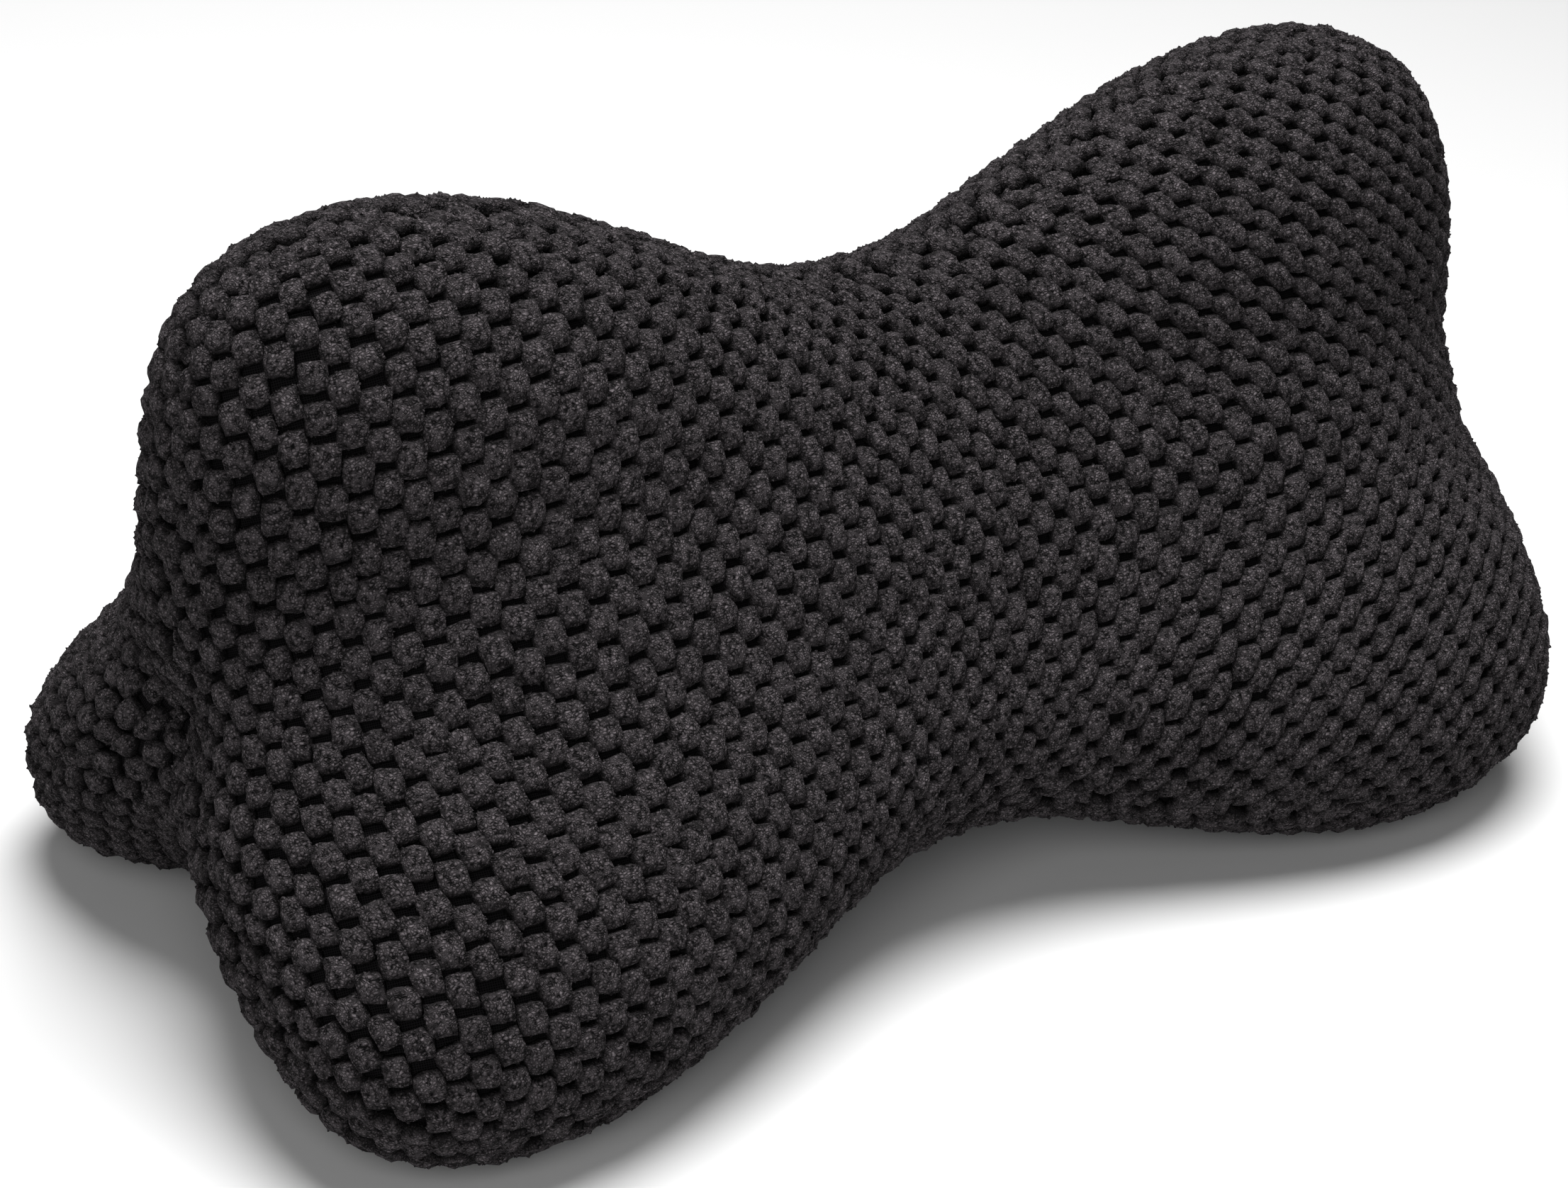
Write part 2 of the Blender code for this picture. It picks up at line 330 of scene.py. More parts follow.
def makeChenille():
    material = bpy.data.materials.new("chenilleMicrofibre")
    material.use_nodes = True
    tree = material.node_tree
    shader = tree.nodes["Principled BSDF"]
    place = addNode(tree, "ShaderNodeTexCoord").outputs["Object"]

    def noise(vector, size, detail):
        return addNode(tree, "ShaderNodeTexNoise", {}, {
            "Vector": vector, "Scale": 1.0 / size, "Detail": detail})

    # curls lie one way here and another way there, each about twice as long as wide
    bend = noise(place, 3.0 * chenille["curlSize"], 1.0)
    bent = addNode(tree, "ShaderNodeVectorMath", {"operation": "MULTIPLY_ADD"},
                   {0: bend.outputs["Color"], 1: (chenille["bend"],) * 3, 2: place}).outputs[0]
    lies = []
    for stretch in ((1.0, chenille["curlStretch"], 1.0), (chenille["curlStretch"], 1.0, 0.8)):
        lies.append(addNode(tree, "ShaderNodeVectorMath", {"operation": "MULTIPLY"},
                            {0: bent, 1: stretch}).outputs[0])
    which = addNode(tree, "ShaderNodeMapRange", {},
                    {"Value": noise(place, 2.6 * chenille["curlSize"], 0.0).outputs["Fac"],
                     "From Min": 0.47, "From Max": 0.53})
    lie = addNode(tree, "ShaderNodeMix", {"data_type": "VECTOR"},
                  {"Factor": which.outputs["Result"], 4: lies[0], 5: lies[1]}).outputs[1]
    curls = addNode(tree, "ShaderNodeTexVoronoi", {"feature": "DISTANCE_TO_EDGE"},
                    {"Vector": lie, "Scale": 1.0 / chenille["curlSize"]})
    rise = addNode(tree, "ShaderNodeMapRange", {},
                   {"Value": curls.outputs["Distance"], "From Max": chenille["creaseWidth"]})
    dome = addNode(tree, "ShaderNodeMath", {"operation": "POWER"},
                   {0: rise.outputs["Result"], 1: chenille["roundness"]})
    fibres = noise(bent, 0.35 * chenille["curlSize"], 1.0)
    curled = addNode(tree, "ShaderNodeMath", {"operation": "MULTIPLY_ADD"},
                     {0: fibres.outputs["Fac"], 1: chenille["fibreShare"], 2: dome.outputs[0]})
    pits = addNode(tree, "ShaderNodeMapRange", {},
                   {"Value": noise(place, chenille["pitSize"], 1.0).outputs["Fac"],
                    "From Min": 0.35, "From Max": 0.6, "To Max": chenille["pitShare"]})
    height = addNode(tree, "ShaderNodeMath", {"operation": "ADD"},
                     {0: curled.outputs[0], 1: pits.outputs["Result"]})
    # painted shade: the colour runs from the painted crevice shade to the top colour with the height of the
    # curls, fibres and pits, so creases and pits are painted dark
    lit = addNode(tree, "ShaderNodeMapRange", {},
                  {"Value": height.outputs[0], "From Min": chenille["darkBelow"],
                   "From Max": chenille["brightAbove"]})
    tone = addNode(tree, "ShaderNodeMapRange", {},
                   {"Value": noise(place, chenille["toneSize"], 1.0).outputs["Fac"],
                    "From Min": 0.3, "From Max": 0.7, "To Min": 1.0 - chenille["toneSpread"], "To Max": 1.0})
    # painted shade: the pile is darker toward its foot, where the next tuft shades it
    stand = addNode(tree, "ShaderNodeAttribute", {"attribute_name": "stand"})
    share = addNode(tree, "ShaderNodeMath", {"operation": "MULTIPLY"},
                    {0: lit.outputs["Result"], 1: tone.outputs["Result"]})
    share = addNode(tree, "ShaderNodeMath", {"operation": "MULTIPLY"},
                    {0: share.outputs[0], 1: stand.outputs["Fac"]})
    # the mix paints the crevice shade and the foot shade into the cloth's colour
    colour = addNode(tree, "ShaderNodeMix", {"data_type": "RGBA"},
                     {"Factor": share.outputs[0], 6: toLinear(chenille["curlCreviceShade"]),
                      7: toLinear(chenille["curlTop"])})
    bump = addNode(tree, "ShaderNodeBump", {},
                   {"Height": height.outputs[0], "Distance": chenille["curlHeight"], "Strength": 1.0})
    tree.links.new(colour.outputs[2], shader.inputs["Base Color"])
    tree.links.new(bump.outputs["Normal"], shader.inputs["Normal"])
    shader.inputs["Roughness"].default_value = chenille["roughness"]
    shader.inputs["Specular IOR Level"].default_value = chenille["specular"]
    shader.inputs["Sheen Weight"].default_value = chenille["bloom"]
    shader.inputs["Sheen Roughness"].default_value = chenille["bloomRoughness"]
    shader.inputs["Sheen Tint"].default_value = toLinear(chenille["bloomColour"])
    return material


# base knit: fine polyester warp knit, seen as a dark mesh of small holes between the tufts
# painted shade: the holes are painted near black, as the shade inside them; the thread is the knit's own
# near-black colour
baseKnit = {"thread": "#1b1a1b", "holeShade": "#010101", "pitch": 0.45 * mm, "threadHeight": 0.12 * mm,
            "bumpShare": 0.8, "wander": 0.6, "roughness": 0.9, "specular": 0.0}
bandScale = 0.314      # a wave texture at this scale repeats once in each unit of length


def makeBaseKnit():
    material = bpy.data.materials.new("polyesterWarpKnit")
    material.use_nodes = True
    tree = material.node_tree
    shader = tree.nodes["Principled BSDF"]
    flat = addNode(tree, "ShaderNodeUVMap", {"uv_map": "clothMap"}).outputs["UV"]
    waves = []
    for direction in ("X", "Y"):
        wave = addNode(tree, "ShaderNodeTexWave", {"wave_type": "BANDS", "bands_direction": direction},
                       {"Vector": flat, "Scale": bandScale / baseKnit["pitch"],
                        "Distortion": baseKnit["wander"], "Detail": 1.0, "Detail Scale": 1.0})
        waves.append(wave.outputs["Fac"])
    mesh = addNode(tree, "ShaderNodeMath", {"operation": "MAXIMUM"}, {0: waves[0], 1: waves[1]})
    # the holes between the threads take the painted shade
    colour = addNode(tree, "ShaderNodeMix", {"data_type": "RGBA"},
                     {"Factor": mesh.outputs[0], 6: toLinear(baseKnit["holeShade"]),
                      7: toLinear(baseKnit["thread"])})
    bump = addNode(tree, "ShaderNodeBump", {},
                   {"Height": mesh.outputs[0], "Distance": baseKnit["threadHeight"],
                    "Strength": baseKnit["bumpShare"]})
    tree.links.new(colour.outputs[2], shader.inputs["Base Color"])
    tree.links.new(bump.outputs["Normal"], shader.inputs["Normal"])
    shader.inputs["Roughness"].default_value = baseKnit["roughness"]
    shader.inputs["Specular IOR Level"].default_value = baseKnit["specular"]
    return material


# tufts: one puffy lump of pile in every second cell of the knit
tufts = {
    "Cell Long": 5.95 * mm, "Cell Across": 4.2 * mm,      # a tuft or a gap on the slack cloth
    "Cells Long": 91, "Cells Across": 53,
    # the cells are shorter at the waist and toward the near end
    "Waist Draw": 0.316, "Waist Width": 43.0 * mm, "Waist Middle": -6.3 * mm,
    "End Draw": 1.33, "End Start": -110.0 * mm,
    # the columns bow, more so toward the far end
    "Near Lean": -0.124, "Far Lean": 2.07, "Lean Start": -207.0 * mm, "Lean End": 681.0 * mm,
    "Bow Width": 36.7 * mm, "Bow Draw": 0.08,
    # the rows are closer toward the seams
    "Seam Draw": 0.159, "Seam Reach": 80.0 * mm,
    "Tuft Long": 7.0 * mm, "Tuft Across": 7.4 * mm, "Tuft Height": 4.7 * mm, "Tuft Sink": 1.0 * mm,
    "Roundness": 0.32, "Dome": 0.26,
    "Size Spread": 0.07, "Turn Spread": 0.16, "Place Spread": 0.3 * mm,
    "Wave Size": 45.0 * mm, "Wave Depth": 1.2 * mm,
    "Lump Size": 2.3 * mm, "Lump Depth": 1.7 * mm,
    "Cut Reach": 1.3 * mm, "Seam Room": 1.6 * mm, "Cut Size": 0.6,
    "Curls": 195000.0, "Curl Long": 1.1 * mm, "Curl Wide": 0.75 * mm,     # curls on a square metre of pile
    "Rim Start": 0.2, "Rim End": 0.9, "Top Share": 0.3,        # fewer on top: shares of a half tuft
    "Foot Start": -0.9, "Foot End": 0.1,                       # and none at the foot
    # heights between which the painted shade at the pile's foot fades out
    "Shade Foot": 0.8 * mm, "Shade Top": 3.4 * mm,
    # the tufts spread where the cloth is bent over the full near lobes
    "Full Start": -55.0 * mm, "Full End": -100.0 * mm, "Full Inside": 18.0 * mm, "Full Outside": 45.0 * mm,
    "Full Share": 0.07,
    "Floor": 0.15 * mm, "Seed": 4,
}


def buildTuftTree():
    tree = bpy.data.node_groups.new("chenilleTufts", "GeometryNodeTree")
    face = tree.interface
    face.new_socket("Geometry", in_out="INPUT", socket_type="NodeSocketGeometry")
    for name, value in tufts.items():
        kind = "NodeSocketInt" if isinstance(value, int) else "NodeSocketFloat"
        face.new_socket(name, in_out="INPUT", socket_type=kind).default_value = value
    face.new_socket("Only Curls", in_out="INPUT", socket_type="NodeSocketBool")
    face.new_socket("Material", in_out="INPUT", socket_type="NodeSocketMaterial")
    face.new_socket("Geometry", in_out="OUTPUT", socket_type="NodeSocketGeometry")
    given = addNode(tree, "NodeGroupInput").outputs

    def maths(operation, a, b=0.0, c=0.0):
        return addNode(tree, "ShaderNodeMath", {"operation": operation}, {0: a, 1: b, 2: c}).outputs[0]

    def vectors(operation, a, b=(0.0, 0.0, 0.0), c=(0.0, 0.0, 0.0)):
        return addNode(tree, "ShaderNodeVectorMath", {"operation": operation},
                       {0: a, 1: b, 2: c}).outputs["Vector"]

    def scaled(vector, factor):
        return addNode(tree, "ShaderNodeVectorMath", {"operation": "SCALE"},
                       {0: vector, "Scale": factor}).outputs["Vector"]

    def combine(x=0.0, y=0.0, z=0.0):
        return addNode(tree, "ShaderNodeCombineXYZ", {}, {"X": x, "Y": y, "Z": z}).outputs[0]

    def apart(vector):
        return addNode(tree, "ShaderNodeSeparateXYZ", {}, {0: vector}).outputs

    def random(low, high, more, kind="FLOAT"):
        node = addNode(tree, "FunctionNodeRandomValue", {"data_type": kind}, {
            "Seed": maths("ADD", given["Seed"], float(more))})
        ends = [socket for socket in node.inputs if socket.enabled and socket.name in ("Min", "Max")]
        for socket, value in zip(ends, (low, high)):
            if isinstance(value, bpy.types.NodeSocket):
                tree.links.new(value, socket)
            else:
                socket.default_value = value
        return next(socket for socket in node.outputs if socket.enabled)

    def position():
        return addNode(tree, "GeometryNodeInputPosition").outputs[0]

    def normalHere():
        return addNode(tree, "GeometryNodeInputNormal").outputs[0]

    def ranged(value, start, end, low=0.0, high=1.0, interpolation="LINEAR"):
        # value from start to end gives low to high, and no more outside
        return addNode(tree, "ShaderNodeMapRange", {"interpolation_type": interpolation}, {
            "Value": value, "From Min": start, "From Max": end, "To Min": low, "To Max": high}).outputs[0]

    def unit(vector):
        return vectors("NORMALIZE", vector)

    def captured(geometry, items):
        # holds values on the points, to be read after they have moved
        node = addNode(tree, "GeometryNodeCaptureAttribute", {"domain": "POINT"}, {"Geometry": geometry})
        for kind, name, value in items:
            node.capture_items.new(kind, name)
            tree.links.new(value, node.inputs[name])
        return node

    def moved(geometry, **inputs):
        return addNode(tree, "GeometryNodeSetPosition", {}, dict(inputs, Geometry=geometry)).outputs[0]

    # the flat knit: a grid of cells, of which every second one carries a tuft
    cells = addNode(tree, "GeometryNodeMeshGrid", {}, {
        "Size X": maths("MULTIPLY", given["Cell Long"], maths("SUBTRACT", given["Cells Long"], 1.0)),
        "Size Y": maths("MULTIPLY", given["Cell Across"], maths("SUBTRACT", given["Cells Across"], 1.0)),
        "Vertices X": given["Cells Long"], "Vertices Y": given["Cells Across"]})
    order = addNode(tree, "GeometryNodeInputIndex").outputs[0]
    column = maths("FLOOR", maths("DIVIDE", order, given["Cells Across"]))
    row = maths("MODULO", order, given["Cells Across"])
    odd = maths("MODULO", maths("ADD", column, row), 2.0)
    kept = addNode(tree, "GeometryNodeDeleteGeometry", {"domain": "POINT"},
                   {"Geometry": cells.outputs["Mesh"], "Selection": odd})

    # each cell's place on the stretched cloth: drawn in at the waist and seams, bowed toward the ends
    slack = apart(position())
    alongWaist = maths("TANH", maths("DIVIDE", maths("SUBTRACT", slack[0], given["Waist Middle"]),
                                     given["Waist Width"]))
    drawn = maths("MULTIPLY", maths("MULTIPLY", given["Waist Draw"], given["Waist Width"]), alongWaist)
    pastStart = maths("MAXIMUM", maths("SUBTRACT", given["End Start"], slack[0]), 0.0)
    endDrawn = maths("MULTIPLY", given["End Draw"], maths("MULTIPLY", pastStart, pastStart))
    lean = ranged(slack[0], given["Lean Start"], given["Lean End"],
                  given["Near Lean"], given["Far Lean"], "SMOOTHSTEP")
    fromMiddle = maths("DIVIDE", slack[1], given["Bow Width"])
    fading = maths("EXPONENT", maths("MULTIPLY", maths("MULTIPLY", fromMiddle, fromMiddle), -0.5))
    steepest = math.exp(-0.5)       # the bow's greatest slope, where fromMiddle is 1
    bowed = maths("MULTIPLY", maths("MULTIPLY", lean, maths("DIVIDE", given["Bow Width"], steepest)),
                  maths("SUBTRACT", 1.0, fading))
    outward = maths("DIVIDE", slack[1], given["Seam Reach"])
    narrowed = maths("MULTIPLY", slack[1], maths("SUBTRACT", 1.0, maths(
        "MULTIPLY", maths("DIVIDE", given["Seam Draw"], 3.0), maths("MULTIPLY", outward, outward))))
    alongCloth = maths("ADD", maths("SUBTRACT", maths("SUBTRACT", slack[0], drawn), bowed), endDrawn)
    stretched = combine(alongCloth, narrowed)
    # the tufts take the size of their cells
    shorter = maths("SUBTRACT", maths("SUBTRACT", maths("SUBTRACT", 1.0, maths(
        "MULTIPLY", given["Waist Draw"], maths("SUBTRACT", 1.0, maths("MULTIPLY", alongWaist, alongWaist)))),
        maths("MULTIPLY", maths("MULTIPLY", given["End Draw"], 2.0), pastStart)),
        maths("MULTIPLY", given["Bow Draw"], maths("SUBTRACT", 1.0, fading)))
    slimmer = maths("SUBTRACT", maths("SUBTRACT", 1.0, maths("MULTIPLY", given["End Draw"], pastStart)),
                    maths("MULTIPLY", given["Seam Draw"], maths("MULTIPLY", outward, outward)))
    towardEnd = ranged(slack[0], given["Full Start"], given["Full End"])
    overLobe = ranged(maths("ABSOLUTE", slack[1]), given["Full Inside"], given["Full Outside"])
    fuller = maths("ADD", 1.0, maths("MULTIPLY", given["Full Share"],
                                     maths("MULTIPLY", towardEnd, overLobe)))
    shorter = maths("MULTIPLY", shorter, fuller)
    slimmer = maths("MULTIPLY", slimmer, fuller)
    # and lean with their columns
    slope = maths("MULTIPLY", maths("MULTIPLY", lean, -1.0 / steepest),
                  maths("MULTIPLY", fromMiddle, fading))

    # slow waves in the rows, and a little scatter
    slow = addNode(tree, "ShaderNodeTexNoise", {}, {
        "Vector": position(), "Scale": maths("DIVIDE", 1.0, given["Wave Size"]), "Detail": 0.0})
    wave = vectors("MULTIPLY", vectors("SUBTRACT", slow.outputs["Color"], (0.5, 0.5, 0.5)),
                   combine(given["Wave Depth"], given["Wave Depth"]))
    jitter = vectors("MULTIPLY", random((-1.0, -1.0, 0.0), (1.0, 1.0, 0.0), 0, "FLOAT_VECTOR"),
                     combine(given["Place Spread"], given["Place Spread"]))
    wanted = vectors("ADD", vectors("ADD", stretched, wave), jitter)

    cutAbove = 0.02 * mm            # nearer than this, a tuft counts as on the panel
    # a tuft that the seam cuts is drawn to the seam's inner side and is smaller
    clothMap = addNode(tree, "GeometryNodeInputNamedAttribute", {"data_type": "FLOAT_VECTOR"},
                       {"Name": "clothMap"}).outputs[0]
    flatPanel = moved(given["Geometry"], Position=clothMap)
    nearest = addNode(tree, "GeometryNodeProximity", {"target_element": "FACES"},
                      {"Geometry": flatPanel, "Sample Position": wanted}).outputs
    edgeward = unit(vectors("SUBTRACT", nearest["Position"], wanted))
    isCut = maths("GREATER_THAN", nearest["Distance"], cutAbove)
    inside = vectors("ADD", nearest["Position"],
                     scaled(edgeward, maths("MULTIPLY", isCut, given["Seam Room"])))
    held = captured(kept.outputs[0], (
        ("VECTOR", "flatPlace", inside), ("FLOAT", "outside", nearest["Distance"]), ("FLOAT", "isCut", isCut),
        ("FLOAT", "shorter", shorter), ("FLOAT", "slimmer", slimmer), ("FLOAT", "slope", slope)))
    flatPlace = held.outputs["flatPlace"]

    # carried from the flat cloth onto the pillow
    def onPillow(value, at):
        return addNode(tree, "GeometryNodeSampleUVSurface", {"data_type": "FLOAT_VECTOR"}, {
            "Mesh": given["Geometry"], "Value": value, "Source UV Map": clothMap, "Sample UV": at})

    spot = onPillow(position(), flatPlace)
    probeStep = (1.0 * mm, 0.0, 0.0)
    ahead = onPillow(position(), vectors("ADD", flatPlace, probeStep))
    behind = onPillow(position(), vectors("SUBTRACT", flatPlace, probeStep))
    normal = onPillow(normalHere(), flatPlace)
    ahead, behind = (addNode(tree, "GeometryNodeSwitch", {"input_type": "VECTOR"}, {
        "Switch": probe.outputs["Is Valid"], "False": spot.outputs["Value"],
        "True": probe.outputs["Value"]}).outputs[0] for probe in (ahead, behind))
    placed = moved(held.outputs["Geometry"], Position=spot.outputs["Value"])
    offCloth = maths("ADD", maths("SUBTRACT", 1.0, spot.outputs["Is Valid"]),
                     maths("GREATER_THAN", held.outputs["outside"], given["Cut Reach"]))
    left = addNode(tree, "GeometryNodeDeleteGeometry", {"domain": "POINT"}, {
        "Geometry": placed, "Selection": offCloth})
    alongRow = vectors("SUBTRACT", ahead, behind)
    leanWay = scaled(unit(alongRow), held.outputs["slope"])
    aimed = captured(left.outputs[0], (("VECTOR", "leanWay", leanWay),))

    # one tuft: a small block rounded into a puff; its underside is closed by a fan, sunk in the knit
    block = addNode(tree, "GeometryNodeMeshCube", {}, {
        "Size": (2.0, 2.0, 2.0), "Vertices X": 5, "Vertices Y": 5, "Vertices Z": 3})
    under = maths("LESS_THAN", apart(normalHere())[2], -0.5)
    opened = addNode(tree, "GeometryNodeDeleteGeometry", {"domain": "FACE"},
                     {"Geometry": block.outputs["Mesh"], "Selection": under})
    rim = maths("LESS_THAN", addNode(tree, "GeometryNodeInputMeshEdgeNeighbors").outputs[0], 1.5)
    skirt = addNode(tree, "GeometryNodeExtrudeMesh", {"mode": "EDGES"},
                    {"Mesh": opened.outputs[0], "Selection": rim, "Offset Scale": 0.0})
    fan = moved(skirt.outputs["Mesh"], Selection=skirt.outputs["Top"], Position=combine(0.0, 0.0, -1.0))
    closed = addNode(tree, "GeometryNodeMergeByDistance", {}, {"Geometry": fan, "Distance": 1e-4})
    corner = position()
    square = apart(vectors("MULTIPLY", corner, corner))

    def roundShare(a, b):
        # the share by which a cube's coordinate shrinks when the cube becomes a ball
        halves = maths("SUBTRACT", 1.0, maths("MULTIPLY", maths("ADD", a, b), 0.5))
        return maths("SQRT", maths("MULTIPLY_ADD", maths("MULTIPLY", a, b), 1.0 / 3.0, halves))

    ball = vectors("MULTIPLY", corner, combine(roundShare(square[1], square[2]),
                                               roundShare(square[2], square[0]),
                                               roundShare(square[0], square[1])))
    blend = vectors("ADD", scaled(ball, given["Roundness"]),
                    scaled(corner, maths("SUBTRACT", 1.0, given["Roundness"])))
    # the top is domed, so that a crease is left between tufts
    spread = apart(vectors("MULTIPLY", blend, blend))
    fall = maths("MULTIPLY", given["Dome"], maths("MULTIPLY", maths("ADD", spread[0], spread[1]), maths(
        "MAXIMUM", maths("ADD", apart(blend)[2], 0.4), 0.0)))
    domed = vectors("SUBTRACT", blend, combine(0.0, 0.0, fall))
    # curls stand out along a tuft's rim and upper sides, and fewer on its top
    place = apart(corner)
    rimward = ranged(maths("MAXIMUM", maths("ABSOLUTE", place[0]), maths("ABSOLUTE", place[1])),
                     given["Rim Start"], given["Rim End"], given["Top Share"])
    aboveFoot = ranged(place[2], given["Foot Start"], given["Foot End"])
    offRow = maths("MULTIPLY", place[1], maths("MULTIPLY", given["Tuft Across"], -0.5))
    marked = captured(closed.outputs[0], (
        ("FLOAT", "curlShare", maths("MULTIPLY", rimward, aboveFoot)), ("FLOAT", "offRow", offRow)))
    half = scaled(combine(given["Tuft Long"], given["Tuft Across"], given["Tuft Height"]), 0.5)
    lift = combine(0.0, 0.0, maths("SUBTRACT", maths("MULTIPLY", given["Tuft Height"], 0.5),
                                   given["Tuft Sink"]))
    shape = moved(marked.outputs["Geometry"], Position=vectors("MULTIPLY_ADD", domed, half, lift))
    # painted shade: a share from 0 at the shade foot to 1 at the shade top, kept as stand so that the shader
    # paints the pile dark toward its foot
    rise = ranged(apart(position())[2], given["Shade Foot"], given["Shade Top"])
    tuft = addNode(tree, "GeometryNodeStoreNamedAttribute", {"data_type": "FLOAT", "domain": "POINT"}, {
        "Geometry": shape, "Name": "stand", "Value": rise}).outputs[0]

    facing = addNode(tree, "FunctionNodeAxesToRotation", {"primary_axis": "Z", "secondary_axis": "X"}, {
        "Primary Axis": normal.outputs["Value"], "Secondary Axis": alongRow})
    turn = random(maths("MULTIPLY", given["Turn Spread"], -1.0), given["Turn Spread"], 1)
    turned = addNode(tree, "FunctionNodeRotateRotation", {"rotation_space": "LOCAL"}, {
        "Rotation": facing.outputs[0],
        "Rotate By": addNode(tree, "FunctionNodeAxisAngleToRotation", {}, {
            "Axis": (0.0, 0.0, 1.0), "Angle": turn}).outputs[0]})
    low = maths("SUBTRACT", 1.0, given["Size Spread"])
    high = maths("ADD", 1.0, given["Size Spread"])
    size = random(combine(low, low, low), combine(high, high, high), 2, "FLOAT_VECTOR")
    cutSize = maths("SUBTRACT", 1.0, maths("MULTIPLY", held.outputs["isCut"],
                                           maths("SUBTRACT", 1.0, given["Cut Size"])))
    copies = addNode(tree, "GeometryNodeInstanceOnPoints", {}, {
        "Points": aimed.outputs["Geometry"], "Instance": tuft, "Rotation": turned.outputs[0],
        "Scale": vectors("MULTIPLY", scaled(size, cutSize), combine(
            held.outputs["shorter"], held.outputs["slimmer"], held.outputs["slimmer"]))})
    upright = addNode(tree, "GeometryNodeRealizeInstances", {}, {"Geometry": copies.outputs[0]})
    real = moved(upright.outputs[0], Offset=scaled(aimed.outputs["leanWay"], marked.outputs["offRow"]))

    # uneven lumps over the tufts
    lumps = addNode(tree, "ShaderNodeTexNoise", {}, {
        "Vector": position(), "Scale": maths("DIVIDE", 1.0, given["Lump Size"]), "Detail": 1.0})
    swell = maths("MULTIPLY", maths("SUBTRACT", lumps.outputs["Fac"], 0.5), given["Lump Depth"])
    swelled = moved(real, Offset=scaled(normalHere(), swell))

    # single curls of pile that stand out of the tufts
    spots = addNode(tree, "GeometryNodeDistributePointsOnFaces", {"distribute_method": "RANDOM"}, {
        "Mesh": swelled, "Density": maths("MULTIPLY", given["Curls"], marked.outputs["curlShare"]),
        "Seed": given["Seed"]})
    curl = addNode(tree, "GeometryNodeMeshUVSphere", {}, {"Segments": 3, "Rings": 2, "Radius": 0.5})
    curlTurn = addNode(tree, "FunctionNodeRotateRotation", {"rotation_space": "LOCAL"}, {
        "Rotation": spots.outputs["Rotation"],
        "Rotate By": addNode(tree, "FunctionNodeAxisAngleToRotation", {}, {
            "Axis": (0.0, 0.0, 1.0), "Angle": random(0.0, math.pi, 3)}).outputs[0]})
    curls = addNode(tree, "GeometryNodeInstanceOnPoints", {}, {
        "Points": spots.outputs["Points"], "Instance": curl.outputs["Mesh"], "Rotation": curlTurn.outputs[0],
        "Scale": scaled(combine(given["Curl Long"], given["Curl Wide"], given["Curl Wide"]),
                        random(0.7, 1.3, 5))})
    realCurls = addNode(tree, "GeometryNodeRealizeInstances", {}, {"Geometry": curls.outputs[0]})
    chosen = addNode(tree, "GeometryNodeSwitch", {"input_type": "GEOMETRY"}, {
        "Switch": given["Only Curls"], "False": swelled, "True": realCurls.outputs[0]})

    # a flat underside where the pillow rests
    now = apart(position())
    rested = moved(chosen.outputs[0], Position=combine(
        now[0], now[1], maths("MAXIMUM", now[2], given["Floor"])))
    smooth = addNode(tree, "GeometryNodeSetShadeSmooth", {}, {"Geometry": rested})
    finished = addNode(tree, "GeometryNodeSetMaterial", {}, {
        "Geometry": smooth.outputs[0], "Material": given["Material"]})
    addNode(tree, "NodeGroupOutput", {}, {"Geometry": finished.outputs[0]})
    return tree


def growTufts(name, panel, tree, material, seed, onlyCurls):
    # runs the tree on a panel and keeps the result as a plain mesh
    modifier = panel.modifiers.new("tufts", "NODES")
    modifier.node_group = tree
    values = dict(tufts, **{"Seed": seed, "Material": material, "Only Curls": onlyCurls})
    for item in tree.interface.items_tree:
        if item.in_out == "INPUT" and item.name in values:
            modifier[item.identifier] = values[item.name]
    graph = bpy.context.evaluated_depsgraph_get()
    mesh = bpy.data.meshes.new_from_object(panel.evaluated_get(graph))
    mesh.name = name
    panel.modifiers.remove(modifier)
    piece = bpy.data.objects.new(name, mesh)
    bpy.context.scene.collection.objects.link(piece)
    mesh.calc_loop_triangles()
    print(name, len(mesh.loop_triangles), "triangles")
    return piece


def makeGround(material, panels):
    # the whole bare knit as one closed skin, mapped panel by panel
    skin = bmesh.new()
    skin.loops.layers.uv.new("clothMap")
    for panel in panels:
        skin.from_mesh(panel.data)
    bmesh.ops.remove_doubles(skin, verts=skin.verts, dist=1e-5)
    bmesh.ops.recalc_face_normals(skin, faces=skin.faces)
    mesh = bpy.data.meshes.new("knitGround")
    skin.to_mesh(mesh)
    skin.free()
    mesh.shade_smooth()
    mesh.materials.append(material)
    piece = bpy.data.objects.new("knitGround", mesh)
    bpy.context.scene.collection.objects.link(piece)
    return piece


panelStarts = {"Rear": seamColumns[2], "Front": seamColumns[0], "Under": seamColumns[1]}
panels = {name: makePanel("panel" + name, start) for name, start in panelStarts.items()}
print("panels laid flat")
groundPiece = makeGround(makeBaseKnit(), panels.values())
print("bare knit", len(groundPiece.data.polygons), "faces")
chenilleMaterial = makeChenille()
tuftTree = buildTuftTree()
tuftPieces = []
for number, (name, panel) in enumerate(panels.items()):
    for kind, onlyCurls in (("tufts", False), ("curls", True)):
        tuftPieces.append(growTufts(kind + name, panel, tuftTree, chenilleMaterial,
                                    tufts["Seed"] + 10 * number, onlyCurls))
    bpy.data.objects.remove(panel, do_unlink=True)

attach(groundPiece, "root")
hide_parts("pillow")
for piece in tuftPieces:
    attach(piece, "root")

# camera: the photograph's own view, from the near end, above and in front
view = {"azimuth": -38.94, "elevation": 29.44, "roll": 5.69, "distance": 0.8184, "lens": 86.81,
        "offsetRight": 7.8 * mm, "offsetUp": 11.0 * mm}


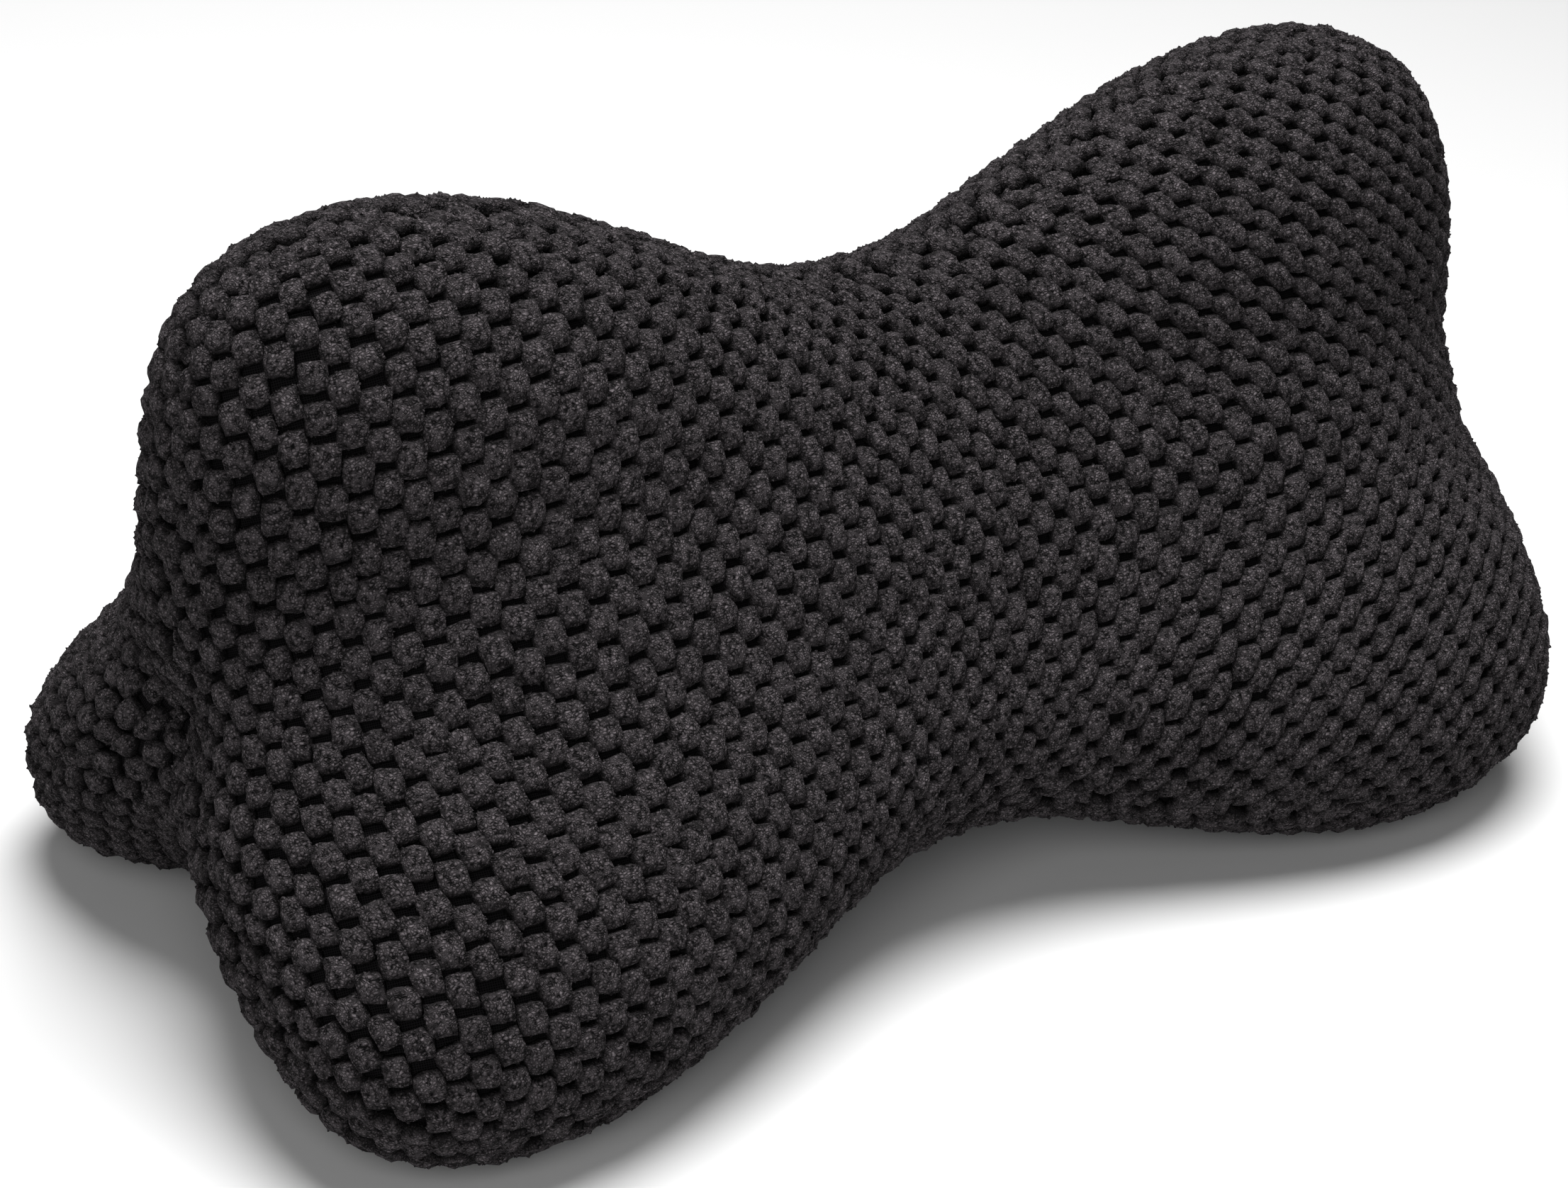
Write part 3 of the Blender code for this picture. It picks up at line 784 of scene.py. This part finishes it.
def makeCamera():
    azimuth, elevation, roll = (math.radians(view[key]) for key in ("azimuth", "elevation", "roll"))
    back = Vector((math.sin(azimuth) * math.cos(elevation), -math.cos(azimuth) * math.cos(elevation),
                   math.sin(elevation)))
    right = Vector((math.cos(azimuth), math.sin(azimuth), 0.0))
    up = back.cross(right)
    right, up = (right * math.cos(roll) + up * math.sin(roll), up * math.cos(roll) - right * math.sin(roll))
    camera = bpy.data.objects.new("camera", bpy.data.cameras.new("camera"))
    camera.data.lens = view["lens"]
    camera.data.sensor_width = 36.0
    camera.data.clip_start = 0.05
    camera.matrix_world = Matrix((right, up, back)).transposed().to_4x4()
    camera.location = (formOrigin + back * view["distance"]
                       - right * view["offsetRight"] - up * view["offsetUp"])
    bpy.context.scene.collection.objects.link(camera)
    bpy.context.scene.camera = camera


stage = {"floorColour": "#d8d8d8", "floorHalf": 3.0, "floorDrop": 0.5 * mm, "skyStrength": 0.06,
         "aimHeight": 80.0 * mm,
         "lamps": {"overhead": ((0.0, 0.0, 1.3), 0.9, 30.0), "key": ((-0.85, -0.85, 0.8), 0.9, 7.5)}}


def makeStage():
    # pale floor and soft studio light: most from overhead, some from the near end and the front
    floor = bpy.data.objects.new("floor", bpy.data.meshes.new("floor"))
    sheet = bmesh.new()
    bmesh.ops.create_grid(sheet, x_segments=1, y_segments=1, size=stage["floorHalf"])
    sheet.to_mesh(floor.data)
    sheet.free()
    floor.location.z = -stage["floorDrop"]
    material = bpy.data.materials.new("palePaper")
    material.use_nodes = True
    shader = material.node_tree.nodes["Principled BSDF"]
    shader.inputs["Base Color"].default_value = toLinear(stage["floorColour"])
    shader.inputs["Roughness"].default_value = 0.9
    floor.data.materials.append(material)
    bpy.context.scene.collection.objects.link(floor)
    world = bpy.data.worlds.new("studio")
    bpy.context.scene.world = world
    world.use_nodes = True
    world.node_tree.nodes["Background"].inputs["Color"].default_value = toLinear("#ffffff")
    world.node_tree.nodes["Background"].inputs["Strength"].default_value = stage["skyStrength"]
    aim = Vector((0.0, 0.0, stage["aimHeight"]))
    for name, (place, size, power) in stage["lamps"].items():
        lamp = bpy.data.objects.new(name, bpy.data.lights.new(name, "AREA"))
        lamp.data.shape = "DISK"
        lamp.data.size = size
        lamp.data.energy = power
        lamp.location = place
        lamp.rotation_euler = (aim - Vector(place)).to_track_quat("-Z", "Y").to_euler()
        bpy.context.scene.collection.objects.link(lamp)
    bpy.context.scene.view_settings.view_transform = "Standard"


makeCamera()
makeStage()

bpy.context.view_layer.update()
